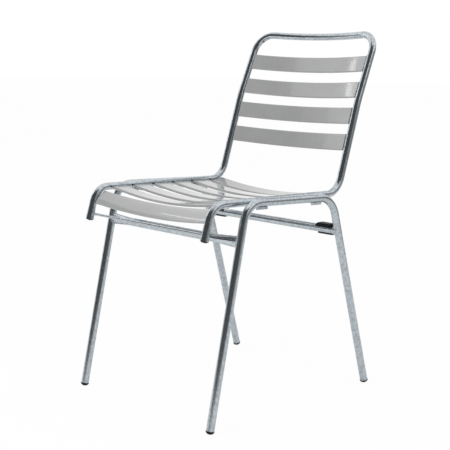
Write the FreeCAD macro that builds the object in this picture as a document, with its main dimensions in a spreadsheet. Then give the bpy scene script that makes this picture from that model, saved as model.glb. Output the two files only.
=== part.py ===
# Stacking terrace chair: bent galvanised tube frame with bowed slats.
# X runs across the chair, the sitter faces -Y, Z is up, the floor is Z = 0.
# The origin is the middle of the footprint on the floor. All sizes are in millimetres.
import FreeCAD, Part
import Sketcher
import math
import os
from FreeCAD import Placement, Rotation, Vector

doc = FreeCAD.newDocument("terrace_chair")

# Driving dimensions: name, value, what it is
SIZES = [
    ("leg_tube_diameter", 18.0, "outside of the tube of the two leg frames"),
    ("leg_tube_wall", 2.0, "its wall"),
    ("seat_tube_diameter", 17.0, "outside of the tube round seat and back"),
    ("seat_tube_wall", 2.0, "its wall"),
    ("rail_half_spacing", 215.5, "middle of the chair to the middle of a leg frame's rail"),
    ("front_foot_half_spacing", 218.0, "middle of the chair to a front foot"),
    ("rear_foot_half_spacing", 220.5, "middle of the chair to a rear foot"),
    ("front_foot_reach", 290.3, "origin forward to a front foot"),
    ("rear_foot_reach", 236.5, "origin back to a rear foot"),
    ("front_corner_reach", 188.5, "origin forward to the front corner of the leg frame"),
    ("rear_corner_reach", 94.4, "origin back to the rear corner of the leg frame"),
    ("front_rail_rise", 0.9, "seat tube's line up to the front corner of the leg frame"),
    ("rear_rail_drop", 3.6, "seat tube's line down to the rear corner of the leg frame"),
    ("leg_front_bend", 48.0, "bend radius between front leg and rail"),
    ("leg_rear_bend", 60.0, "bend radius between rail and rear leg"),
    ("seat_half_spacing", 194.0, "middle of the chair to the seat tube"),
    ("knee_half_spacing", 193.5, "middle of the chair to the post at its knee"),
    ("top_half_spacing", 191.5, "middle of the chair to the post's line at the top corner"),
    ("nose_reach", 289.4, "origin forward to the lower end of the seat tube"),
    ("nose_height", 409.2, "floor to that end"),
    ("seat_front_reach", 268.5, "origin forward to the front corner of the seat tube"),
    ("seat_front_height", 482.4, "floor to that corner"),
    ("seat_rear_reach", 139.5, "origin back to the corner between seat and back"),
    ("seat_rear_height", 474.4, "floor to that corner"),
    ("lower_post_lean", 17.2, "lean of the post under its knee, in degrees from upright"),
    ("knee_height", 687.1, "floor to the knee"),
    ("upper_post_lean", 23.0, "lean of the post above its knee, in degrees from upright"),
    ("top_height", 846.8, "floor to the top corner"),
    ("seat_front_bend", 42.0, "bend radius over the front edge of the seat"),
    ("seat_rear_bend", 50.3, "bend radius between seat and back"),
    ("knee_bend", 300.0, "bend radius of the gentle knee in the post"),
    ("top_bend", 48.0, "bend radius of the top corners"),
    ("top_bow", 11.0, "how far the top rail bows backwards"),
    ("top_bow_share", 0.98, "share of the top rail that bows, the rest is straight"),
    ("vent_hole_diameter", 5.0, "round holes in the inner side of the tubes"),
    ("vent_hole_lead", 5.5, "slat's front edge forward to the middle of its hole"),
    ("rear_vent_turn", 7.0, "middle of the rear bend forward to its hole, in degrees"),
    ("slat_width", 40.0, "width of every slat"),
    ("slat_thickness", 6.0, "thickness of every slat"),
    ("slat_edge_radius", 2.4, "rounding along a slat's long edges"),
    ("slat_bow", 16.5, "how far a slat's middle lies below its ends"),
    ("slat_end_gap", 0.7, "slat's end to the tube beside it"),
    ("front_slat_crown", 4.4, "how far the front slat's face rises between its long edges"),
    ("slat_pitch", 64.6, "spacing of the slats along the tube"),
    ("second_slat_reach", 206.1, "origin forward to the middle of the second seat slat"),
    ("front_slat_reach", 264.8, "origin forward to the middle of the front slat"),
    ("front_slat_height", 460.1, "floor to the ends of the front slat, at its face"),
    ("front_slat_tilt", 41.3, "slope of the front slat, down to the front, in degrees"),
    ("last_slat_lift", 9.0, "how much the last seat slat tips up at the rear, in degrees"),
    ("back_slat_drop", 144.4, "top corner down the post to the middle of the second back slat"),
    ("top_slat_pitch", 66.8, "spacing of the two upper back slats"),
    ("seat_slat_stand", 0.3, "face of a seat slat above the seat tube's centre line, at its ends"),
    ("back_slat_stand", 3.0, "face of a back slat in front of the post's centre line"),
    ("lug_width", 28.0, "slat lugs, along the tube"),
    ("lug_length", 20.0, "slat lugs, from the screw outwards to the tube"),
    ("lug_thickness", 3.0, "slat lugs"),
    ("front_plate_reach", 143.8, "origin forward to the middle of the front joining plates"),
    ("rear_plate_reach", 37.7, "origin back to the middle of the rear joining plates"),
    ("plate_width", 34.0, "joining plates, along the tube"),
    ("plate_length", 28.5, "joining plates, across the two tubes"),
    ("plate_inner_reach", 2.8, "seat tube's middle to a plate's inner edge"),
    ("plate_thickness", 2.0, "their sheet"),
    ("plate_seat", 0.15, "depth of the shallow seats of the tubes in a joining plate"),
    ("plate_lip", 5.8, "turned down edges of a joining plate"),
    ("plate_hole_diameter", 2.4, "hole through those edges"),
    ("screw_diameter", 4.0, "shank of the slat screws"),
    ("screw_head_diameter", 8.0, "their heads"),
    ("screw_head_face", 5.1, "flat face of a head"),
    ("screw_head_height", 2.0, "height of the heads"),
    ("screw_depth", 3.5, "how far a shank goes into the slat"),
    ("screw_inset", 13.5, "slat's end inwards to its screw"),
    ("fit_clearance", 0.1, "between pieces that seat on each other"),
    ("front_bar_diameter", 19.0, "front crossbar"),
    ("front_bar_height", 400.3, "floor to its centre line"),
    ("front_bar_wall", 2.0, "its wall"),
    ("bar_end_height", 26.0, "its flattened ends, upright"),
    ("bar_end_depth", 10.0, "its flattened ends, front to back"),
    ("bar_flare_length", 60.0, "length over which an end is flattened"),
    ("rear_bar_diameter", 19.0, "rear crossbar"),
    ("rear_bar_height", 390.8, "floor to its centre line"),
    ("rear_bar_wall", 2.0, "its wall"),
    ("tie_rod_diameter", 6.0, "rod between the two ends of the seat tube"),
    ("tie_rod_height", 422.0, "floor to its centre line"),
    ("glide_diameter", 19.0, "foot glides"),
    ("glide_height", 7.5, "end of the leg tube to the tip of a glide"),
    ("glide_dome_radius", 11.5, "domed face of a glide"),
    ("glide_dome_lift", 10.5, "floor up to the centre of that dome"),
    ("nose_diameter", 18.8, "thickened lower ends of the seat tube"),
    ("nose_length", 30.0, "length over which they thicken"),
    ("plug_diameter", 17.6, "head of a tube plug"),
    ("plug_height", 3.0, "visible height of a tube plug"),
    ("plug_dome_radius", 17.0, "domed face of a tube plug"),
    ("plug_depth", 14.0, "how far a plug goes into the tube"),
    ("plug_play", 0.1, "play of a plug in the tube's bore, all round"),
    ("buffer_length", 42.0, "stacking buffers, along the rear crossbar"),
    ("buffer_wall", 3.5, "their wall under and behind the bar"),
    ("buffer_top", 14.0, "bar's centre line up to the top of a buffer"),
    ("buffer_front", 12.4, "bar's centre line forward to the face of a buffer"),
    ("buffer_mouth", 5.5, "bar's centre line up to the front lip of a buffer"),
    ("buffer_toe", 1.5, "bar's centre line forward to the end of the lower lip"),
    ("buffer_corner", 5.0, "rounding along a buffer"),
    ("buffer_chamfer", 5.0, "slanted inner end of a buffer"),
    ("buffer_gap", 7.5, "buffer to the rear leg"),
]

sheet = doc.addObject("Spreadsheet::Sheet", "sizes")
for row, (alias, value, note) in enumerate(SIZES, start=1):
    sheet.set("A%d" % row, alias)
    sheet.set("B%d" % row, str(value))
    sheet.setAlias("B%d" % row, alias)
    sheet.set("C%d" % row, note)
doc.recompute()

nodes = {}


def size(alias):
    """the value of a driving dimension"""
    return float(getattr(sheet, alias))


def value(formula):
    """the number that a formula gives; @name in it stands for a cell of the sheet"""
    return float(sheet.evalExpression(formula.replace("@", "")))


def bind(thing, prop, formula):
    """tie a property to the sheet by a formula, or set it to a plain number"""
    if isinstance(formula, str):
        thing.setExpression(prop, formula.replace("@", "sizes."))
    else:
        setattr(thing, prop, formula)


def keep(thing, name):
    """name a finished sub-part and put it on the list of files"""
    thing.Label = name
    nodes[name] = thing
    return thing


def unit(vector):
    """the direction of a vector"""
    return Vector(vector).multiply(1.0 / vector.Length)


def bend(before, corner, after, radius):
    """the arc that rounds a corner: its first, middle and last point, and its centre"""
    back = unit(before - corner)
    ahead = unit(after - corner)
    half_angle = back.getAngle(ahead) / 2
    reach = radius / math.tan(half_angle)
    middle_line = unit(back + ahead)
    centre = corner + middle_line * (radius / math.sin(half_angle))
    return corner + back * reach, centre - middle_line * radius, corner + ahead * reach, centre


def bent_path(points, radii):
    """a wire of straight runs joined by tangent arcs, one radius for each inner point"""
    edges = []
    start = points[0]
    for before, corner, after, radius in zip(points, points[1:], points[2:], radii):
        first, middle, last, centre = bend(before, corner, after, radius)
        edges.append(Part.LineSegment(start, first).toShape())
        edges.append(Part.Arc(first, middle, last).toShape())
        start = last
    edges.append(Part.LineSegment(start, points[-1]).toShape())
    return Part.Wire(edges)


def along(start, end):
    """a placement at start whose own Z axis points to end"""
    return Placement(start, Rotation(Vector(0, 0, 1), end - start))


def sweep(name, spine, diameter, start, ahead):
    """a round bar of the given diameter formula along a spine"""
    ring = doc.addObject("Part::Circle", name + "_ring")
    bind(ring, "Radius", "(%s) / 2" % diameter)
    ring.Placement = along(start, ahead)
    bar = doc.addObject("Part::Sweep", name)
    bar.Sections = [ring]
    bar.Spine = (spine, ["Edge%d" % (i + 1) for i in range(len(spine.Shape.Edges))])
    bar.Solid = True
    bar.Frenet = False
    return bar


def cut(name, base, tool):
    """base less tool"""
    result = doc.addObject("Part::Cut", name)
    result.Base = base
    result.Tool = tool
    return result


def fuse(name, parts):
    """several shapes joined into one"""
    result = doc.addObject("Part::MultiFuse", name)
    result.Shapes = parts
    return result


def group(name, parts):
    """separate solids that share one sub-part"""
    result = doc.addObject("Part::Compound", name)
    result.Links = parts
    return result


def cylinder(name, radius, height, place):
    """a cylinder along the Z axis of its placement"""
    solid = doc.addObject("Part::Cylinder", name)
    bind(solid, "Radius", radius)
    bind(solid, "Height", height)
    solid.Placement = place
    return solid


def box(name, length, width, height, place):
    """a box from the corner of its placement"""
    solid = doc.addObject("Part::Box", name)
    bind(solid, "Length", length)
    bind(solid, "Width", width)
    bind(solid, "Height", height)
    solid.Placement = place
    return solid


def bent_bars(name, points, radii, diameter, wall):
    """the outside and the bore of a tube along a bent path, both as full bars"""
    spine = doc.addObject("Part::Feature", name + "_path")
    spine.Shape = bent_path(points, radii)
    outside = sweep(name + "_outside", spine, diameter, points[0], points[1])
    bore = sweep(name + "_bore", spine, "%s - 2 * %s" % (diameter, wall), points[0], points[1])
    return outside, bore


def bend_vent(name, before, corner, after, radius, turn):
    """a drill for the hole in the inner side of a bend, turned away from the bend's middle"""
    first, middle, last, centre = bend(before, corner, after, radius)
    axis = (first - centre).cross(last - centre)
    towards = Rotation(axis, turn).multVec(middle - centre)
    return cylinder(name, "@vent_hole_diameter / 2", radius, along(centre, centre + towards))


def origin_plane(body, role):
    """one of a body's own origin planes"""
    return [p for p in body.Origin.OriginFeatures if p.Role == role][0]


def sketch_on(body, role, name):
    """a new sketch on an origin plane of its body"""
    sketch = body.newObject("Sketcher::SketchObject", name)
    sketch.AttachmentSupport = (origin_plane(body, role), [""])
    sketch.MapMode = "FlatFace"
    return sketch


def measure(sketch, word, formula, kind, *ends):
    """a named dimension of a sketch, tied to the sheet"""
    sketch.addConstraint(Sketcher.Constraint(kind, *ends, value(formula)))
    sketch.renameConstraint(len(sketch.Constraints) - 1, word)
    bind(sketch, "Constraints." + word, formula)


# Centre lines of the tubes, right-hand side (the side of +X, as seen from the front)
seat_nose = Vector(size("seat_half_spacing"), -size("nose_reach"), size("nose_height"))
seat_front = Vector(size("seat_half_spacing"), -size("seat_front_reach"), size("seat_front_height"))
seat_rear = Vector(size("seat_half_spacing"), size("seat_rear_reach"), size("seat_rear_height"))
knee_rise = size("knee_height") - size("seat_rear_height")
knee = Vector(size("knee_half_spacing"),
              size("seat_rear_reach") + knee_rise * math.tan(math.radians(size("lower_post_lean"))),
              size("knee_height"))
top_rise = size("top_height") - size("knee_height")
top_corner = Vector(size("top_half_spacing"),
                    knee.y + top_rise * math.tan(math.radians(size("upper_post_lean"))),
                    size("top_height"))


def mirrored(point):
    """the same point on the other side of the chair"""
    return Vector(-point.x, point.y, point.z)


def on_line(start, end, axis, value):
    """the point of the line start-end whose x, y or z has a value"""
    share = (value - getattr(start, axis)) / (getattr(end, axis) - getattr(start, axis))
    return start + (end - start) * share


def seat_line(reach):
    """the seat tube's centre line at a y"""
    return on_line(seat_front, seat_rear, "y", reach)


front_foot = Vector(size("front_foot_half_spacing"), -size("front_foot_reach"), 0)
front_corner = Vector(size("rail_half_spacing"), -size("front_corner_reach"),
                      seat_line(-size("front_corner_reach")).z + size("front_rail_rise"))
rear_corner = Vector(size("rail_half_spacing"), size("rear_corner_reach"),
                     seat_line(size("rear_corner_reach")).z - size("rear_rail_drop"))
rear_foot = Vector(size("rear_foot_half_spacing"), size("rear_foot_reach"), 0)


def rail_line(reach):
    """a leg rail's centre line at a y"""
    return on_line(front_corner, rear_corner, "y", reach)


# Seat and back tube: from one nose over the seat, up the post, across the top and down again
rail_flat = size("top_half_spacing") - size("top_bend")
bow_angle = 2 * math.atan(size("top_bow") / rail_flat)
post_up = unit(top_corner - knee)
backwards = unit(Vector(0, post_up.z, -post_up.y))
rail_middle = Vector(0, top_corner.y, top_corner.z)
rail_middle = rail_middle + backwards * (size("top_half_spacing") * math.tan(bow_angle))
bow_radius = size("top_bow_share") * rail_flat / math.sin(bow_angle)
right_points = [seat_nose, seat_front, seat_rear, knee, top_corner]
right_radii = [size("seat_front_bend"), size("seat_rear_bend"), size("knee_bend"), size("top_bend")]
seat_points = right_points + [rail_middle] + [mirrored(p) for p in reversed(right_points)]
seat_radii = right_radii + [bow_radius] + right_radii[::-1]
seat_outside, seat_bore = bent_bars("seat", seat_points, seat_radii, "@seat_tube_diameter",
                                    "@seat_tube_wall")
swells = []
for nose, ahead in ((seat_nose, seat_front), (mirrored(seat_nose), mirrored(seat_front))):
    swell = doc.addObject("Part::Cone", "seat_swell")
    bind(swell, "Radius1", "@nose_diameter / 2")
    bind(swell, "Radius2", "@seat_tube_diameter / 2")
    bind(swell, "Height", "@nose_length")
    swell.Placement = along(nose, ahead)
    swells.append(swell)
seat_bar = fuse("seat_bar", [seat_outside] + swells)



def leg_tube_end(foot, corner):
    """where a leg's tube stops, above the dome of its glide"""
    up = unit(corner - foot)
    return foot + up * (size("glide_dome_lift") / up.z + size("glide_height") - size("glide_dome_radius"))


# Leg frames: front leg, rail under the seat tube and rear leg are one bent tube
leg_points = [leg_tube_end(front_foot, front_corner), front_corner, rear_corner,
              leg_tube_end(rear_foot, rear_corner)]
leg_radii = [size("leg_front_bend"), size("leg_rear_bend")]
leg_bars = []
for side, points in (("right", leg_points), ("left", [mirrored(p) for p in leg_points])):
    outside, bore = bent_bars("leg_" + side, points, leg_radii, "@leg_tube_diameter", "@leg_tube_wall")
    vent = bend_vent("leg_vent_" + side, *points[1:], size("leg_rear_bend"), -size("rear_vent_turn"))
    keep(cut("leg_vented_" + side, cut("leg_tube_" + side, outside, bore), vent), "leg_frame_" + side)
    leg_bars.append(outside)

# Round holes in the inner side of the seat tube: one ahead of each seat slat behind the front one,
# and one in each top bend
slat_reaches = [-size("second_slat_reach") + size("slat_pitch") * i for i in range(6)]
hole_tools = []
for i, reach in enumerate(slat_reaches):
    centre = seat_line(reach - size("slat_width") / 2 - size("vent_hole_lead"))
    for point, inwards in ((centre, Vector(-1, 0, 0)), (mirrored(centre), Vector(1, 0, 0))):
        hole_tools.append(cylinder("vent_tool", "@vent_hole_diameter / 2", "@seat_tube_diameter",
                                   along(point, point + inwards)))
for sign in (1, -1):
    bend_points = [Vector(sign * p.x, p.y, p.z) for p in (knee, top_corner, rail_middle)]
    hole_tools.append(bend_vent("top_vent", *bend_points, size("top_bend"), 0))
seat_tube = cut("seat_tube", seat_bar, seat_bore)
keep(cut("seat_back", seat_tube, group("vent_tools", hole_tools)), "seat_back_tube")


# Slats: a rounded strip bent to an arc, its local origin at the centre of curvature
SEAT_HALF = "(@seat_half_spacing - @seat_tube_diameter / 2 - @slat_end_gap)"
BACK_HALF = "(@top_half_spacing - @seat_tube_diameter / 2 - @slat_end_gap)"


def arc_radius(half_chord, rise):
    """the radius of an arc as a formula"""
    return "((%s ^ 2 + %s ^ 2) / (2 * %s))" % (half_chord, rise, rise)


def slat_face(level, crown):
    """the upper or lower line of a slat's section, from right to left"""
    edge = size("slat_width") / 2
    if not crown:
        return Part.LineSegment(Vector(edge, level, 0), Vector(-edge, level, 0))
    radius = value(arc_radius("(@slat_width / 2)", crown))
    drop = radius - value(crown)
    start = math.atan2(drop, edge)
    circle = Part.Circle(Vector(0, level - drop, 0), Vector(0, 0, 1), radius)
    return Part.ArcOfCircle(circle, start, math.pi - start)


def slat_body(name, half, crown):
    """a slat whose face has its middle slat_bow below its ends; a crown, if there is one, is how
    far the face rises between the long edges"""
    radius = arc_radius(half, "@slat_bow")
    edge = size("slat_width") / 2
    top = -value(radius)
    bottom = top - size("slat_thickness")
    body = doc.addObject("PartDesign::Body", name)
    sketch = sketch_on(body, "YZ_Plane", name + "_section")
    upper, lower, right, left = sketch.addGeometry([
        slat_face(top, crown),
        slat_face(bottom, crown),
        Part.LineSegment(Vector(edge, top, 0), Vector(edge, bottom, 0)),
        Part.LineSegment(Vector(-edge, top, 0), Vector(-edge, bottom, 0)),
    ], False)
    for face, side, face_end in ((upper, right, 1), (upper, left, 2), (lower, right, 1), (lower, left, 2)):
        side_end = 1 if face == upper else 2
        sketch.addConstraint(Sketcher.Constraint("Coincident", face, face_end, side, side_end))
    sketch.addConstraint(Sketcher.Constraint("Vertical", right))
    sketch.addConstraint(Sketcher.Constraint("Vertical", left))
    sketch.addConstraint(Sketcher.Constraint("Equal", right, left))
    sketch.addConstraint(Sketcher.Constraint("Symmetric", upper, 1, upper, 2, -2))
    measure(sketch, "width", "@slat_width", "DistanceX", upper, 2, upper, 1)
    measure(sketch, "thickness", "@slat_thickness", "DistanceY", right, 2, right, 1)
    measure(sketch, "bend", radius, "DistanceY", upper, 1, -1, 1)
    if crown:
        sketch.addConstraint(Sketcher.Constraint("Equal", upper, lower))
        measure(sketch, "crown", arc_radius("(@slat_width / 2)", crown), "Radius", upper)
    strip = body.newObject("PartDesign::Revolution", name + "_strip")
    strip.Profile = sketch
    strip.ReferenceAxis = (sketch, ["H_Axis"])
    strip.Midplane = True
    bind(strip, "Angle", "2 * asin(%s / %s)" % (half, radius))
    doc.recompute()
    long_edges = []
    for i, edge in enumerate(strip.Shape.Edges):
        extent = edge.BoundBox
        if edge.Length > extent.ZLength * 4 and extent.XLength > extent.YLength:
            long_edges.append("Edge%d" % (i + 1))
    rounding = body.newObject("PartDesign::Fillet", name + "_rounding")
    rounding.Base = (strip, long_edges)
    bind(rounding, "Radius", "@slat_edge_radius")
    return body


def slat_place(half, face_point, tilt):
    """where a slat's centre of curvature goes, so that the ends of its face are level with a point"""
    normal = Vector(0, -math.sin(tilt), math.cos(tilt))
    rise = value("%s - @slat_bow" % arc_radius(half, "@slat_bow"))
    return Placement(face_point + normal * rise, Rotation(Vector(1, 0, 0), math.degrees(tilt)))


def fixing(name, half, crown, place, sign):
    """a lug under one end of a slat, the screw through it and the hole that the screw needs; the
    spot's own X runs along the slat and its -Z points away from it"""
    hollow = "0"
    rise = 0
    if crown:
        section = arc_radius("(@slat_width / 2)", crown)
        hollow = "(%s - sqrt(%s ^ 2 - (@lug_width / 2) ^ 2))" % (section, section)
        rise = value("%s - %s" % (crown, hollow))
    radius = value("%s + @slat_thickness + @fit_clearance" % arc_radius(half, "@slat_bow")) - rise
    angle = math.asin((value(half) - size("screw_inset")) / radius)
    turn = Placement(Vector(0, 0, 0), Rotation(Vector(0, 1, 0), -math.degrees(angle) * sign))
    spot = place.multiply(turn)

    def local(x, y, z):
        return spot.multiply(Placement(Vector(x, y, z - radius), Rotation()))

    thick = size("lug_thickness")
    start = 0 if sign > 0 else -size("lug_length")
    tongue = box(name + "_tongue", "@lug_length", "@lug_width", "@lug_thickness",
                 local(start, -size("lug_width") / 2, -thick))
    nose = cylinder(name + "_nose", "@lug_width / 2", "@lug_thickness", local(0, 0, -thick))
    bore = cylinder(name + "_bore", "@screw_diameter / 2 + @fit_clearance", "@lug_thickness * 3",
                    local(0, 0, -2 * thick))
    lug = cut(name + "_lug", fuse(name + "_plate", [tongue, nose]), group(name + "_off", [bore, seat_bar]))
    shank = cylinder(name + "_shank", "@screw_diameter / 2",
                     "@screw_depth + @lug_thickness + 2 * @fit_clearance + %s" % hollow,
                     local(0, 0, -thick - size("fit_clearance")))
    head = doc.addObject("Part::Cone", name + "_head")
    bind(head, "Radius1", "@screw_head_face / 2")
    bind(head, "Radius2", "@screw_head_diameter / 2")
    bind(head, "Height", "@screw_head_height")
    head.Placement = local(0, 0, -thick - size("fit_clearance") - size("screw_head_height"))
    screw = fuse(name + "_screw", [shank, head])
    hole = cylinder(name + "_hole", "@screw_diameter / 2 + @fit_clearance",
                    "@screw_depth + 2 * @fit_clearance + %s" % hollow, local(0, 0, -size("fit_clearance")))
    return lug, screw, hole


def slat(name, half, crown, face_point, tilt):
    """one slat with its two fixings"""
    place = slat_place(half, face_point, tilt)
    strip = slat_body(name + "_strip", half, crown)
    strip.Placement = place
    right = fixing(name + "_right", half, crown, place, 1)
    left = fixing(name + "_left", half, crown, place, -1)
    keep(cut(name + "_drilled", strip, group(name + "_holes", [right[2], left[2]])), name)
    return right, left


def keep_fixings(family, pairs):
    """the lugs and screws of a row of slats, grouped by side"""
    for side, index in (("right", 0), ("left", 1)):
        for kind, piece in (("lugs", 0), ("screws", 1)):
            node = "%s_slat_%s_%s" % (family, kind, side)
            keep(group(node + "_row", [pair[index][piece] for pair in pairs]), node)


def slope(start, end):
    """the angle of a line over the floor, seen from the side"""
    return math.atan2(end.z - start.z, end.y - start.y)


# Seat slats: the first lies across the front bend, the last tips up with the rear bend
front_face = Vector(0, -size("front_slat_reach"), size("front_slat_height"))
front_tilt = math.radians(size("front_slat_tilt"))
seat_fixings = [slat("seat_slat_1", SEAT_HALF, "@front_slat_crown", front_face, front_tilt)]
for i, reach in enumerate(slat_reaches):
    middle = seat_line(reach)
    tilt = slope(seat_front, seat_rear)
    if i == len(slat_reaches) - 1:
        tilt += math.radians(size("last_slat_lift"))
    face = Vector(0, middle.y, middle.z + size("seat_slat_stand") / math.cos(tilt))
    seat_fixings.append(slat("seat_slat_%d" % (i + 2), SEAT_HALF, "", face, tilt))
keep_fixings("seat", seat_fixings)

# Back slats, counted from the top: two on the upper run of the post, two under its knee
back_fixings = []
upper_length = (top_corner - knee).Length
for i in range(4):
    step = size("slat_pitch") if i else size("top_slat_pitch")
    down = size("back_slat_drop") + step * (i - 1)
    if down < upper_length:
        post = top_corner + (knee - top_corner) * (down / upper_length)
        tilt = slope(knee, top_corner)
    else:
        post = knee + unit(seat_rear - knee) * (down - upper_length)
        tilt = slope(seat_rear, knee)
    forwards = Vector(0, -math.sin(tilt), math.cos(tilt))
    face = Vector(0, post.y, post.z) + forwards * size("back_slat_stand")
    back_fixings.append(slat("back_slat_%d" % (i + 1), BACK_HALF, "", face, tilt))
keep_fixings("back", back_fixings)


# Joining plates: a pressed channel under the seat tube and the leg rail, its edges turned down
def joining_plate(name, reach):
    """the right-hand plate whose middle is at a y"""
    inner = seat_line(reach)
    outer = rail_line(reach)
    centre_angle = math.atan2(outer.z - inner.z, outer.x - inner.x)
    span = math.hypot(outer.z - inner.z, outer.x - inner.x)
    radius = size("seat_tube_diameter") / 2
    wider = size("leg_tube_diameter") / 2 - radius
    lean = centre_angle - math.asin(wider / span)
    down = Vector(math.sin(lean), 0, -math.cos(lean))
    tilt = slope(front_corner, rear_corner)
    corner = inner + down * (radius / math.cos(tilt) - size("plate_seat"))
    place = Placement(corner, Rotation(Vector(0, 1, 0), -math.degrees(lean)).multiply(
        Rotation(Vector(1, 0, 0), math.degrees(tilt))))

    def local(x, y, z):
        return place.multiply(Placement(Vector(x, y, z), Rotation()))

    half = size("plate_width") / 2
    thick = size("plate_thickness")
    web = box(name + "_web", "@plate_length", "@plate_width", "@plate_thickness",
              local(-size("plate_inner_reach"), -half, -thick))
    lips = []
    for x in (-size("plate_inner_reach"), size("plate_length") - size("plate_inner_reach") - thick):
        lips.append(box(name + "_lip", "@plate_thickness", "@plate_width", "@plate_lip",
                        local(x, -half, -size("plate_lip"))))
    drill = cylinder(name + "_drill", "@plate_hole_diameter / 2", "@plate_length * 1.5",
                     local(-size("plate_length") / 2, 0, -(size("plate_lip") + thick) / 2).multiply(
                         Placement(Vector(0, 0, 0), Rotation(Vector(0, 1, 0), 90))))
    channel = fuse(name + "_channel", [web] + lips)
    return cut(name + "_plate", channel, group(name + "_off", [drill, seat_bar, leg_bars[0]]))


def mirror(name, source):
    """the same shape on the other side of the chair"""
    other = doc.addObject("Part::Mirroring", name)
    other.Source = source
    other.Base = Vector(0, 0, 0)
    other.Normal = Vector(1, 0, 0)
    return other


for row, reach in (("front", -size("front_plate_reach")), ("rear", size("rear_plate_reach"))):
    right_plate = joining_plate("%s_plate" % row, reach)
    keep(right_plate, "joining_plate_%s_right" % row)
    keep(mirror("%s_plate_left" % row, right_plate), "joining_plate_%s_left" % row)


# Crossbars and the tie rod, each end cut to the tube that it is welded to
front_bar_at = on_line(front_foot, front_corner, "z", size("front_bar_height"))
rear_bar_at = on_line(rear_foot, rear_corner, "z", size("rear_bar_height"))
tie_at = on_line(seat_nose, seat_front, "z", size("tie_rod_height"))


def ring(name, major, minor, x, at):
    """an upright ellipse round the bar's line at an x"""
    oval = doc.addObject("Part::Ellipse", name)
    bind(oval, "MajorRadius", major)
    bind(oval, "MinorRadius", minor)
    oval.Placement = Placement(Vector(x, at.y, at.z),
                                Rotation(Vector(0, 0, 1), Vector(0, -1, 0), Vector(1, 0, 0), "ZXY"))
    return oval


def flared_bar(name, shrink):
    """the front crossbar's outside or, shrunk by a wall, its bore"""
    at = front_bar_at
    end = at.x - size("leg_tube_diameter") / 2
    start = end - size("bar_flare_length")
    round_half = "@front_bar_diameter / 2 - %s" % shrink
    high = "@bar_end_height / 2 - %s" % shrink
    deep = "@bar_end_depth / 2 - %s" % shrink
    pieces = [cylinder(name + "_middle", round_half, 2 * start,
                       along(Vector(-start, at.y, at.z), Vector(start, at.y, at.z)))]
    for sign in (1, -1):
        flare = doc.addObject("Part::Loft", name + "_flare")
        flare.Sections = [ring(name + "_round", round_half + " + 0.0001", round_half, sign * start, at),
                          ring(name + "_oval", high, deep, sign * end, at),
                          ring(name + "_tip", high, deep, sign * at.x, at)]
        flare.Solid = True
        flare.Ruled = True
        pieces.append(flare)
    return fuse(name, pieces)


front_bar = cut("front_bar_tube", flared_bar("front_bar", "0"), flared_bar("front_bar_bore", "@front_bar_wall"))
keep(cut("front_bar_fitted", front_bar, group("front_bar_off", leg_bars)), "front_crossbar")

rear_line = along(Vector(-rear_bar_at.x, rear_bar_at.y, rear_bar_at.z), rear_bar_at)
rear_outside = cylinder("rear_bar_outside", "@rear_bar_diameter / 2", 2 * rear_bar_at.x, rear_line)
rear_bore = cylinder("rear_bar_bore", "@rear_bar_diameter / 2 - @rear_bar_wall", 2 * rear_bar_at.x,
                     rear_line)
keep(cut("rear_bar_fitted", cut("rear_bar_tube", rear_outside, rear_bore),
         group("rear_bar_off", leg_bars)), "rear_crossbar")

tie = cylinder("tie_rod_full", "@tie_rod_diameter / 2", 2 * tie_at.x,
               along(Vector(-tie_at.x, tie_at.y, tie_at.z), tie_at))
keep(cut("tie_rod_fitted", tie, seat_bar), "front_tie_rod")


# Plugs in the open ends of the tubes: a domed head against the end, a stem in the bore
def domed_plug(name, end, diameter, height, dome, bore):
    """a plug for the tube whose end is a placement with Z into the tube"""

    def local(z):
        return end.multiply(Placement(Vector(0, 0, z), Rotation()))

    tip = -value(height)
    drum = cylinder(name + "_drum", diameter + " / 2", height, local(tip))
    ball = doc.addObject("Part::Sphere", name + "_ball")
    bind(ball, "Radius", dome)
    ball.Placement = local(tip + value(dome))
    head = doc.addObject("Part::Common", name + "_head")
    head.Base = drum
    head.Tool = ball
    stem = cylinder(name + "_stem", "(%s) / 2 - @plug_play" % bore, "@plug_depth + %s / 2" % height,
                    local(tip / 2))
    return fuse(name, [head, stem])


# Foot glides, their domes cut flat on the floor
ground = doc.addObject("Part::Box", "ground")
ground.Length = 4 * size("front_foot_reach")
ground.Width = 4 * size("front_foot_reach")
ground.Height = size("glide_height")
ground.Placement.Base = Vector(-2 * size("front_foot_reach"), -2 * size("front_foot_reach"),
                               -size("glide_height"))
for row, foot, corner in (("front", front_foot, front_corner), ("rear", rear_foot, rear_corner)):
    glide = domed_plug(row + "_glide", along(leg_tube_end(foot, corner), corner), "@glide_diameter",
                       "@glide_height", "@glide_dome_radius", "@leg_tube_diameter - 2 * @leg_tube_wall")
    right_glide = keep(cut(row + "_glide_flat", glide, ground), "foot_glide_%s_right" % row)
    keep(mirror("%s_glide_left" % row, right_glide), "foot_glide_%s_left" % row)

# Plugs in the two lower ends of the seat tube
right_plug = keep(domed_plug("plug", along(seat_nose, seat_front), "@plug_diameter", "@plug_height",
                             "@plug_dome_radius", "@seat_tube_diameter - 2 * @seat_tube_wall"),
                  "tube_plug_right")
keep(mirror("plug_left", right_plug), "tube_plug_left")


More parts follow.
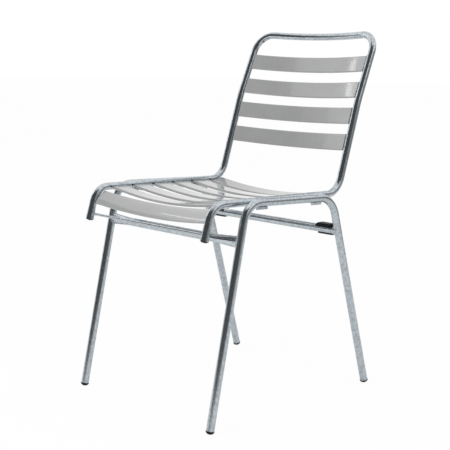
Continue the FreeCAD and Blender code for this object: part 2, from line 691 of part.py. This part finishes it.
# Stacking buffers: open saddles clipped over the ends of the rear crossbar
def buffer():
    """the right-hand buffer, padded along X from its section"""
    body = doc.addObject("PartDesign::Body", "buffer")
    section = sketch_on(body, "YZ_Plane", "buffer_section")
    back_reach = "@rear_bar_diameter / 2 + @buffer_wall"
    front = -size("buffer_front")
    back = value(back_reach)
    top = size("buffer_top")
    corners = [Vector(front, top, 0), Vector(back, top, 0), Vector(back, -back, 0), Vector(front, -back, 0)]
    lines = section.addGeometry([Part.LineSegment(corners[i], corners[(i + 1) % 4]) for i in range(4)], False)
    for i in range(4):
        section.addConstraint(Sketcher.Constraint("Coincident", lines[i], 2, lines[(i + 1) % 4], 1))
    section.addConstraint(Sketcher.Constraint("Horizontal", lines[0]))
    section.addConstraint(Sketcher.Constraint("Horizontal", lines[2]))
    section.addConstraint(Sketcher.Constraint("Vertical", lines[1]))
    section.addConstraint(Sketcher.Constraint("Vertical", lines[3]))
    measure(section, "front", "@buffer_front", "DistanceX", lines[0], 1, -1, 1)
    measure(section, "top", "@buffer_top", "DistanceY", -1, 1, lines[0], 1)
    measure(section, "back", back_reach, "DistanceX", -1, 1, lines[2], 1)
    measure(section, "bottom", back_reach, "DistanceY", lines[2], 1, -1, 1)
    block = body.newObject("PartDesign::Pad", "buffer_block")
    block.Profile = section
    bind(block, "Length", "@buffer_length")
    doc.recompute()
    long_edges = [i + 1 for i, e in enumerate(block.Shape.Edges) if e.BoundBox.XLength > size("buffer_length") / 2]
    rounding = body.newObject("PartDesign::Fillet", "buffer_rounding")
    rounding.Base = (block, ["Edge%d" % i for i in long_edges])
    bind(rounding, "Radius", "@buffer_corner")
    return body


buffer_end = rear_bar_at.x - size("leg_tube_diameter") / 2 - size("buffer_gap")
buffer_start = Vector(buffer_end - size("buffer_length"), rear_bar_at.y, rear_bar_at.z)
block = buffer()
block.Placement = Placement(buffer_start, Rotation())
bore = cylinder("buffer_bore", "@rear_bar_diameter / 2 + @fit_clearance", "@buffer_length * 2",
                along(buffer_start - Vector(size("buffer_length") / 2, 0, 0), buffer_start + Vector(1, 0, 0)))
mouth = box("buffer_mouth_gap", "@buffer_length * 2", "2 * @buffer_front - @buffer_toe",
            "@buffer_mouth + @rear_bar_diameter / 2 + @buffer_wall * 2",
            Placement(Vector(buffer_start.x - size("buffer_length") / 2,
                             buffer_start.y - 2 * size("buffer_front"),
                             buffer_start.z - size("rear_bar_diameter") / 2 - 2 * size("buffer_wall")), Rotation()))
slant = box("buffer_slant", "@buffer_chamfer * 4", "@buffer_front * 4", "@buffer_chamfer * 2",
            Placement(Vector(buffer_start.x - size("buffer_chamfer"),
                             buffer_start.y - 2 * size("buffer_front"),
                             buffer_start.z + size("buffer_top") - 2 * size("buffer_chamfer")),
                      Rotation(Vector(0, 1, 0), -45)))
slanted = cut("buffer_slanted", block, slant)
right_buffer = keep(cut("buffer_open", cut("buffer_bored", slanted, bore), mouth), "stack_buffer_right")
keep(mirror("buffer_left", right_buffer), "stack_buffer_left")

doc.recompute()
bad = [o.Name for o in doc.Objects if "Invalid" in o.State or "Error" in o.State]
if bad:
    raise RuntimeError("failed: %s" % bad)
for name, node in nodes.items():
    if node.Shape.isNull() or not node.Shape.isValid() or not node.Shape.Solids:
        raise RuntimeError("no valid solid: %s" % name)

os.makedirs("parts", exist_ok=True)
for name, node in nodes.items():
    node.Shape.exportStep("parts/%s.step" % name)
print(len(nodes), "sub-parts")
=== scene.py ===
"""Stacking terrace chair: finishes for tubes, slats and plastic parts, weld beads, and the stage."""

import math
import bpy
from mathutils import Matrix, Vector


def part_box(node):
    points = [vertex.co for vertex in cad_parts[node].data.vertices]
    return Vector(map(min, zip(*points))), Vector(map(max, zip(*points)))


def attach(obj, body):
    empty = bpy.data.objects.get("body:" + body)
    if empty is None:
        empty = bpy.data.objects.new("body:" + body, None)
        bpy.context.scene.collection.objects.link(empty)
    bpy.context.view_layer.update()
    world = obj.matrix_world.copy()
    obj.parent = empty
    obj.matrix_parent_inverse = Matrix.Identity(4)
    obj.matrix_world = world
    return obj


bl_info = {
    "name": "Terrace Chair",
    "version": (1, 0, 0),
    "blender": (4, 5, 0),
    "location": "View3D > Sidebar > Chair",
    "description": "Finishes, weld beads and stage for a stacking terrace chair",
    "category": "Object",
}

import bmesh
import bpy
from bpy.props import FloatProperty, FloatVectorProperty, PointerProperty
from mathutils import Matrix, Vector
from mathutils.bvhtree import BVHTree
from mathutils.noise import noise as noise_at

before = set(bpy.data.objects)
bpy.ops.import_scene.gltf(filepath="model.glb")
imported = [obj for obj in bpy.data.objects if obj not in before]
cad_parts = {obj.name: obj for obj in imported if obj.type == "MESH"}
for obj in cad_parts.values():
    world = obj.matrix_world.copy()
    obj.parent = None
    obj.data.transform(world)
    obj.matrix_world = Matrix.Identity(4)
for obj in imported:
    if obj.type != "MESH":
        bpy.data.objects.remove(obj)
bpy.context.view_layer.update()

SLATS = sorted(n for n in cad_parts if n[:-1] in ("seat_slat_", "back_slat_"))
SEAT_TUBE = "seat_back_tube"
LEG_FRAME = "leg_frame"
# Each bar and the tube that its ends are welded to
WELDED_TO = {
    "front_tie_rod": SEAT_TUBE,
    "front_crossbar": LEG_FRAME,
    "rear_crossbar": LEG_FRAME,
}
LEGS_AND_BARS = [f"{LEG_FRAME}_left", f"{LEG_FRAME}_right", *WELDED_TO]
BRACKETS = [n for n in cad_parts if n.startswith("joining_plate") or "_lugs_" in n]
SCREWS = [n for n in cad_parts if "_screws_" in n]
BLACK = [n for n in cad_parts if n.startswith(("foot_glide", "tube_plug", "stack_buffer"))]


# Strength of the zinc's relief away from its lumps
SMOOTH_RELIEF = 0.16

# Weld beads: facets round the bead and along it, how fine their lumps are, and how far from a bar's
# tip its end is measured
BEAD_FACETS = 12
BEAD_STEPS = 72
LUMP_RATE = 4.5
TIP_REACH = 0.01
SEED_RATE = 50

# Stage, in metres
FLOOR_HALF = 30.0
SOFTBOX_SIDE = 2.0
SOFTBOX_PLACE = Vector((-0.4, -2.4, 1.4))
SOFTBOX_AIM = Vector((0.0, 0.0, 0.4))
CARD_RADIUS = 3.0
CARD_STEPS = 24
SENSOR_WIDTH_MM = 36.0

# Each card's first and last angle in degrees, lower and upper edge in metres, and shade
CARDS = (
    ("dark_card", -50.0, 76.0, 0.0, 6.0, 0.09),
    ("grey_card", 76.0, 175.0, 0.0, 1.6, 0.32),
    ("mid_card", -58.0, -50.0, 0.0, 2.2, 0.4),
    ("light_strip", -69.6, -67.8, 1.2, 2.6, 5.0),
)


def colour(name, description, default):
    """A colour property."""
    return FloatVectorProperty(name=name, description=description, default=default, size=3, min=0.0,
                               max=1.0, subtype="COLOR")


def length(name, description, default):
    """A length property in metres."""
    return FloatProperty(name=name, description=description, default=default, min=0.0, unit="LENGTH")


def share(name, description, default):
    """A property from 0 to 1."""
    return FloatProperty(name=name, description=description, default=default, min=0.0, max=1.0,
                         subtype="FACTOR")


class ChairFinishes(bpy.types.PropertyGroup):
    """Colours and finishes of the chair"""

    zinc: colour("Zinc", "Colour of the galvanised tubes", (0.58, 0.63, 0.665))
    zinc_dark: colour("Dark zinc", "Colour of the dull patches in the zinc", (0.42, 0.465, 0.50))
    zinc_roughness: share("Zinc roughness", "Roughness of the galvanised tubes", 0.15)
    zinc_patch: length("Zinc patch", "Size of the patches in the zinc", 0.007)
    nose_height: length("Nose lumps", "The seat tube's zinc is lumpy under this height", 0.440)
    slat: colour("Slats", "Colour of the slats", (0.315, 0.320, 0.317))
    slat_roughness: share("Slat roughness", "Roughness of the slats", 0.13)
    black: colour("Black plastic", "Colour of glides, plugs and buffers", (0.006, 0.006, 0.007))
    steel: colour("Screw steel", "Colour of the screws", (0.60, 0.60, 0.61))
    bead: length("Weld bead", "Radius of the round in the weld beads", 0.0019)
    bead_ripple: share("Weld ripple", "How uneven the weld beads are", 0.45)


class ChairStage(bpy.types.PropertyGroup):
    """Camera and light"""

    azimuth: FloatProperty(name="Azimuth", description="Camera's angle round the chair",
                           default=math.radians(45.17), subtype="ANGLE")
    elevation: FloatProperty(name="Elevation", description="Camera's angle over the horizon",
                             default=math.radians(9.37), subtype="ANGLE")
    roll: FloatProperty(name="Roll", description="Camera's turn about its own axis",
                        default=math.radians(0.86), subtype="ANGLE")
    distance: length("Distance", "Camera to the point that it looks at", 2.3782)
    target: FloatVectorProperty(name="Target", description="Point that the camera looks at",
                                default=(0.0, -0.03715, 0.3927), subtype="XYZ", unit="LENGTH")
    lens: FloatProperty(name="Lens", description="Focal length on a 36 mm sensor, in millimetres",
                        default=80.18, min=1.0)
    key: FloatProperty(name="Key light", description="Power of the softbox", default=24.0,
                       min=0.0, unit="POWER")
    fill: FloatProperty(name="World", description="Strength of the light all round", default=0.84,
                        min=0.0)
    floor_white: share("White floor", "How much of the floor the camera sees as plain white", 0.95)


def finishes():
    """The scene's finish settings."""
    return bpy.context.scene.chair_finishes


def node_of(tree, kind, **values):
    """A new shader node; input values are given by their socket's name with _ for a space."""
    made = tree.nodes.new(kind)
    for word, value in values.items():
        if hasattr(made, word):
            setattr(made, word, value)
        else:
            made.inputs[word.replace("_", " ")].default_value = value
    return made


def new_material(name):
    """A node material; returns it with its tree and its Principled shader."""
    material = bpy.data.materials.new(name)
    material.use_nodes = True
    tree = material.node_tree
    return material, tree, tree.nodes["Principled BSDF"]


def noise(tree, size, detail=2.0, roughness=0.5, stretch=(1.0, 1.0, 1.0)):
    """Noise on Object coordinates with features of about a size in metres."""
    place = node_of(tree, "ShaderNodeTexCoord")
    scale = node_of(tree, "ShaderNodeMapping")
    scale.inputs["Scale"].default_value = stretch
    texture = node_of(tree, "ShaderNodeTexNoise", Scale=1.0 / size, Detail=detail, Roughness=roughness)
    tree.links.new(place.outputs["Object"], scale.inputs["Vector"])
    tree.links.new(scale.outputs["Vector"], texture.inputs["Vector"])
    return texture.outputs["Fac"]


def spread(tree, source, low, high, out_low, out_high):
    """A value from low..high of a source to out_low..out_high, clamped."""
    span = node_of(tree, "ShaderNodeMapRange", clamp=True)
    limits = (("From Min", low), ("From Max", high), ("To Min", out_low), ("To Max", out_high))
    for word, value in limits:
        span.inputs[word].default_value = value
    tree.links.new(source, span.inputs["Value"])
    return span.outputs["Result"]


def blend_colours(tree, factor, first, second):
    """A colour between two, by a factor."""
    mix = node_of(tree, "ShaderNodeMix", data_type="RGBA")
    mix.inputs[6].default_value = (*first, 1.0)
    mix.inputs[7].default_value = (*second, 1.0)
    tree.links.new(factor, mix.inputs[0])
    return mix.outputs[2]


def bump(tree, shader, height, distance, strength):
    """Relief from a height, in metres; returns its node."""
    relief = node_of(tree, "ShaderNodeBump", Distance=distance, Strength=strength)
    tree.links.new(height, relief.inputs["Height"])
    tree.links.new(relief.outputs["Normal"], shader.inputs["Normal"])
    return relief


def give(nodes, material):
    """Puts a material on CAD nodes."""
    for name in nodes:
        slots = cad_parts[name].data.materials
        slots.clear()
        slots.append(material)


def below(tree, height, fade):
    """1 under a height in metres, 0 above it, with a soft step."""
    place = node_of(tree, "ShaderNodeTexCoord")
    split = node_of(tree, "ShaderNodeSeparateXYZ")
    tree.links.new(place.outputs["Object"], split.inputs["Vector"])
    return spread(tree, split.outputs["Z"], height - fade, height, 1.0, 0.0)


def zinc_material(name, extra_roughness=0.0, lumpy_under=None):
    """Hot-dip zinc: dull patches over bright metal, flow relief, and thick lumps under a height."""
    look = finishes()
    material, tree, shader = new_material(name)
    shader.inputs["Metallic"].default_value = 1.0
    patches = noise(tree, look.zinc_patch, detail=4.0, roughness=0.6)
    tone = spread(tree, patches, 0.42, 0.62, 0.0, 1.0)
    tree.links.new(blend_colours(tree, tone, look.zinc, look.zinc_dark), shader.inputs["Base Color"])
    low = look.zinc_roughness + extra_roughness
    tree.links.new(spread(tree, patches, 0.40, 0.66, low, low + 0.10), shader.inputs["Roughness"])
    lumps = noise(tree, look.zinc_patch * 0.8, detail=3.0)
    relief = bump(tree, shader, lumps, 0.0003, SMOOTH_RELIEF)
    if lumpy_under is not None:
        depth = spread(tree, below(tree, lumpy_under, 0.012), 0.0, 1.0, SMOOTH_RELIEF, 1.0)
        tree.links.new(depth, relief.inputs["Strength"])
    return material


def slat_material():
    """Smooth moulded slat: mid grey with a clear gloss and slow waves in its surface."""
    look = finishes()
    material, tree, shader = new_material("slat_grey")
    cloud = noise(tree, 0.05, detail=3.0)
    lighter = tuple(c * 1.05 for c in look.slat)
    tree.links.new(blend_colours(tree, spread(tree, cloud, 0.35, 0.65, 0.0, 1.0), look.slat, lighter),
                   shader.inputs["Base Color"])
    grain = noise(tree, 0.004, detail=2.0)
    low = look.slat_roughness
    tree.links.new(spread(tree, grain, 0.35, 0.65, low, low + 0.05), shader.inputs["Roughness"])
    shader.inputs["Coat Weight"].default_value = 1.0
    shader.inputs["Coat Roughness"].default_value = 0.06
    waves = noise(tree, 0.045, detail=1.0, stretch=(0.6, 1.0, 1.0))
    bump(tree, shader, waves, 0.004, 0.25)
    return material


def black_material():
    """Moulded black plastic with a fine matt grain."""
    look = finishes()
    material, tree, shader = new_material("moulded_black")
    grain = noise(tree, 0.0012, detail=3.0)
    worn = tuple(c * 1.8 for c in look.black)
    tree.links.new(blend_colours(tree, spread(tree, grain, 0.45, 0.7, 0.0, 1.0), look.black, worn),
                   shader.inputs["Base Color"])
    tree.links.new(spread(tree, grain, 0.3, 0.7, 0.42, 0.56), shader.inputs["Roughness"])
    shader.inputs["Specular IOR Level"].default_value = 0.2
    bump(tree, shader, grain, 0.0002, 0.3)
    return material


def screw_material():
    """Plain steel of the screws, with turned grain."""
    look = finishes()
    material, tree, shader = new_material("screw_steel")
    shader.inputs["Metallic"].default_value = 1.0
    grain = noise(tree, 0.0008, detail=2.0)
    dark = tuple(c * 0.8 for c in look.steel)
    tree.links.new(blend_colours(tree, grain, look.steel, dark), shader.inputs["Base Color"])
    tree.links.new(spread(tree, grain, 0.3, 0.7, 0.28, 0.42), shader.inputs["Roughness"])
    return material


class CHAIR_OT_tubes(bpy.types.Operator):
    """Gives the bent tubes, crossbars and tie rod their zinc, lumpy near the seat tube's noses"""

    bl_idname = "chair.tubes"
    bl_label = "Tubes"

    def execute(self, context):
        give(LEGS_AND_BARS, zinc_material("zinc_tube"))
        give([SEAT_TUBE], zinc_material("zinc_seat_tube", lumpy_under=finishes().nose_height))
        return {"FINISHED"}


class CHAIR_OT_brackets(bpy.types.Operator):
    """Gives the joining plates and slat lugs their zinc"""

    bl_idname = "chair.brackets"
    bl_label = "Plates and Lugs"

    def execute(self, context):
        give(BRACKETS, zinc_material("zinc_plate", extra_roughness=0.1))
        return {"FINISHED"}


class CHAIR_OT_slats(bpy.types.Operator):
    """Gives the slats their glossy grey"""

    bl_idname = "chair.slats"
    bl_label = "Slats"

    def execute(self, context):
        give(SLATS, slat_material())
        return {"FINISHED"}


def bead_mesh(half_width, half_height, radius, ripple, seed):
    """A lumpy oval ring round the X axis."""
    shape = bmesh.new()
    ring = bmesh.ops.create_circle(shape, segments=BEAD_FACETS, radius=radius)["verts"]
    bmesh.ops.translate(shape, verts=ring, vec=(0.0, half_width, 0.0))
    bmesh.ops.spin(shape, geom=ring + list(shape.edges), cent=(0, 0, 0), axis=(1, 0, 0),
                   angle=math.tau, steps=BEAD_STEPS, use_merge=True)
    bmesh.ops.remove_doubles(shape, verts=shape.verts, dist=1e-6)
    for vert in shape.verts:
        out = Vector((0.0, vert.co.y, vert.co.z)).normalized()
        middle = out * half_width
        swell = 1.0 + ripple * noise_at(out * LUMP_RATE + Vector((seed, 0.0, 0.0)))
        place = middle + (vert.co - middle) * swell
        vert.co = place + out.z * Vector((0.0, 0.0, half_height - half_width))
    bmesh.ops.recalc_face_normals(shape, faces=shape.faces)
    return shape


def onto(shape, end, tree):
    """Moves a ring to a bar's end and lays it along the tube that the bar meets."""
    for vert in shape.verts:
        seat = end + Vector((0.0, vert.co.y, vert.co.z))
        near = tree.find_nearest(seat)[0]
        vert.co = seat + Vector((vert.co.x + near.x - end.x, 0.0, 0.0))


def weld_bead(bar, side, material):
    """The bead round one end of a bar; side is -1 for left and 1 for right."""
    look = finishes()
    word = "right" if side > 0 else "left"
    tube = WELDED_TO[bar]
    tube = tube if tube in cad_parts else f"{tube}_{word}"
    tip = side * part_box(bar)[1].x
    end_points = [v.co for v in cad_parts[bar].data.vertices if abs(v.co.x - tip) < TIP_REACH]
    low = Vector(min(p[i] for p in end_points) for i in range(3))
    high = Vector(max(p[i] for p in end_points) for i in range(3))
    end = Vector((tip, (low.y + high.y) / 2, (low.z + high.z) / 2))
    shape = bead_mesh((high.y - low.y) / 2, (high.z - low.z) / 2, look.bead, look.bead_ripple,
                      tip * SEED_RATE)
    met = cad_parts[tube].data
    tree = BVHTree.FromPolygons([v.co for v in met.vertices], [p.vertices for p in met.polygons])
    onto(shape, end, tree)
    mesh = bpy.data.meshes.new(f"weld_{bar}_{word}")
    shape.to_mesh(mesh)
    shape.free()
    mesh.shade_smooth()
    mesh.materials.append(material)
    piece = link(bpy.data.objects.new(mesh.name, mesh))
    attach(piece, "root")


class CHAIR_OT_welds(bpy.types.Operator):
    """Makes the weld beads at the ends of the crossbars and the tie rod"""

    bl_idname = "chair.welds"
    bl_label = "Weld Beads"

    def execute(self, context):
        material = zinc_material("zinc_weld", extra_roughness=0.08)
        for bar in WELDED_TO:
            for side in (-1, 1):
                weld_bead(bar, side, material)
        return {"FINISHED"}


class CHAIR_OT_plastic(bpy.types.Operator):
    """Gives the glides, plugs and stacking buffers their black plastic"""

    bl_idname = "chair.plastic"
    bl_label = "Glides, Plugs and Buffers"

    def execute(self, context):
        give(BLACK, black_material())
        return {"FINISHED"}


class CHAIR_OT_screws(bpy.types.Operator):
    """Gives the screws their steel"""

    bl_idname = "chair.screws"
    bl_label = "Screws"

    def execute(self, context):
        give(SCREWS, screw_material())
        return {"FINISHED"}


def paper_material(name, shade, white):
    """Matt paper; to the camera a share of it is plain white."""
    material, tree, shader = new_material(name)
    shader.inputs["Base Color"].default_value = (shade, shade, shade, 1.0)
    shader.inputs["Roughness"].default_value = 0.9
    shader.inputs["Specular IOR Level"].default_value = 0.0
    path = node_of(tree, "ShaderNodeLightPath")
    portion = node_of(tree, "ShaderNodeMath", operation="MULTIPLY")
    portion.inputs[1].default_value = white
    glow = node_of(tree, "ShaderNodeEmission", Strength=1.0)
    mix = node_of(tree, "ShaderNodeMixShader")
    tree.links.new(path.outputs["Is Camera Ray"], portion.inputs[0])
    tree.links.new(portion.outputs["Value"], mix.inputs["Fac"])
    tree.links.new(shader.outputs["BSDF"], mix.inputs[1])
    tree.links.new(glow.outputs["Emission"], mix.inputs[2])
    tree.links.new(mix.outputs["Shader"], tree.nodes["Material Output"].inputs["Surface"])
    return material


def glow_material(name, shade):
    """An even shade of grey light."""
    material, tree, shader = new_material(name)
    shader.inputs["Base Color"].default_value = (0.0, 0.0, 0.0, 1.0)
    shader.inputs["Specular IOR Level"].default_value = 0.0
    shader.inputs["Emission Color"].default_value = (shade, shade, shade, 1.0)
    shader.inputs["Emission Strength"].default_value = 1.0
    return material


class CHAIR_OT_stage(bpy.types.Operator):
    """Makes the floor, the lights, the world and the camera"""

    bl_idname = "chair.stage"
    bl_label = "Stage"

    def execute(self, context):
        stage = context.scene.chair_stage
        make_floor(stage)
        make_world(stage)
        make_lights(stage)
        make_camera(stage)
        context.scene.view_settings.view_transform = "Standard"
        return {"FINISHED"}


def link(thing):
    """Puts a new object into the scene."""
    bpy.context.scene.collection.objects.link(thing)
    return thing


def make_floor(stage):
    """A wide pale floor."""
    shape = bmesh.new()
    bmesh.ops.create_grid(shape, x_segments=1, y_segments=1, size=FLOOR_HALF)
    mesh = bpy.data.meshes.new("floor")
    shape.to_mesh(mesh)
    shape.free()
    floor = link(bpy.data.objects.new("floor", mesh))
    mesh.materials.append(paper_material("floor_paper", 0.9, stage.floor_white))


def make_card(name, start, end, low, high, shade):
    """A curved upright card round the chair, seen only in reflections; angles as the azimuth's."""
    shape = bmesh.new()
    aim = Vector((math.sin(start), -math.cos(start), 0.0)) * CARD_RADIUS
    foot, head = (shape.verts.new(aim + Vector((0, 0, z))) for z in (low, high))
    edge = shape.edges.new((foot, head))
    bmesh.ops.spin(shape, geom=[foot, head, edge], cent=(0, 0, 0), axis=(0, 0, 1),
                   angle=end - start, steps=CARD_STEPS)
    mesh = bpy.data.meshes.new(name)
    shape.to_mesh(mesh)
    shape.free()
    card = link(bpy.data.objects.new(name, mesh))
    mesh.materials.append(glow_material(name, shade))
    card.visible_camera = False
    card.visible_diffuse = False
    card.visible_shadow = False


def make_world(stage):
    """White to the camera and in reflections, softer as light."""
    world = bpy.data.worlds.new("studio")
    bpy.context.scene.world = world
    world.use_nodes = True
    tree = world.node_tree
    light = tree.nodes["Background"]
    light.inputs["Color"].default_value = (1.0, 1.0, 1.0, 1.0)
    path = node_of(tree, "ShaderNodeLightPath")
    tree.links.new(spread(tree, path.outputs["Is Diffuse Ray"], 0.0, 1.0, 1.0, stage.fill),
                   light.inputs["Strength"])


def make_lights(stage):
    """One softbox in front, and cards that the metal mirrors."""
    lamp = bpy.data.lights.new("softbox", "AREA")
    lamp.energy = stage.key
    lamp.size = SOFTBOX_SIDE
    box = link(bpy.data.objects.new("softbox", lamp))
    box.visible_glossy = False
    box.location = SOFTBOX_PLACE
    box.rotation_euler = (SOFTBOX_AIM - SOFTBOX_PLACE).to_track_quat("-Z", "Y").to_euler()
    for name, start, end, low, high, shade in CARDS:
        make_card(name, math.radians(start), math.radians(end), low, high, shade)


def make_camera(stage):
    """The photograph's camera."""
    a, e = stage.azimuth, stage.elevation
    back = Vector((math.sin(a) * math.cos(e), -math.cos(a) * math.cos(e), math.sin(e)))
    lens = bpy.data.cameras.new("camera")
    lens.lens = stage.lens
    lens.sensor_width = SENSOR_WIDTH_MM
    camera = link(bpy.data.objects.new("camera", lens))
    turn = (-back).to_track_quat("-Z", "Y").to_matrix().to_4x4() @ Matrix.Rotation(stage.roll, 4, "Z")
    camera.matrix_world = Matrix.Translation(Vector(stage.target) + back * stage.distance) @ turn
    bpy.context.scene.camera = camera


class CHAIR_PT_panel(bpy.types.Panel):
    """Sidebar panel with the chair's settings and steps"""

    bl_idname = "CHAIR_PT_panel"
    bl_label = "Chair"
    bl_space_type = "VIEW_3D"
    bl_region_type = "UI"
    bl_category = "Chair"

    def draw(self, context):
        layout = self.layout
        for group in (context.scene.chair_finishes, context.scene.chair_stage):
            for word in group.__annotations__:
                layout.prop(group, word)
        for step in STEPS:
            layout.operator(step.bl_idname)


STEPS = (CHAIR_OT_tubes, CHAIR_OT_welds, CHAIR_OT_brackets, CHAIR_OT_slats, CHAIR_OT_plastic, 
         CHAIR_OT_screws, CHAIR_OT_stage)
CLASSES = (ChairFinishes, ChairStage, *STEPS, CHAIR_PT_panel)


def register():
    """Adds the classes and the scene's settings."""
    for cls in CLASSES:
        bpy.utils.register_class(cls)
    bpy.types.Scene.chair_finishes = PointerProperty(type=ChairFinishes)
    bpy.types.Scene.chair_stage = PointerProperty(type=ChairStage)


def unregister():
    """Takes them away again."""
    del bpy.types.Scene.chair_stage
    del bpy.types.Scene.chair_finishes
    for cls in reversed(CLASSES):
        bpy.utils.unregister_class(cls)


def main():
    """Builds everything in order."""
    register()
    bpy.ops.chair.tubes()
    bpy.ops.chair.welds()
    bpy.ops.chair.brackets()
    bpy.ops.chair.slats()
    bpy.ops.chair.plastic()
    bpy.ops.chair.screws()
    bpy.ops.chair.stage()


if __name__ == "__main__":
    main()
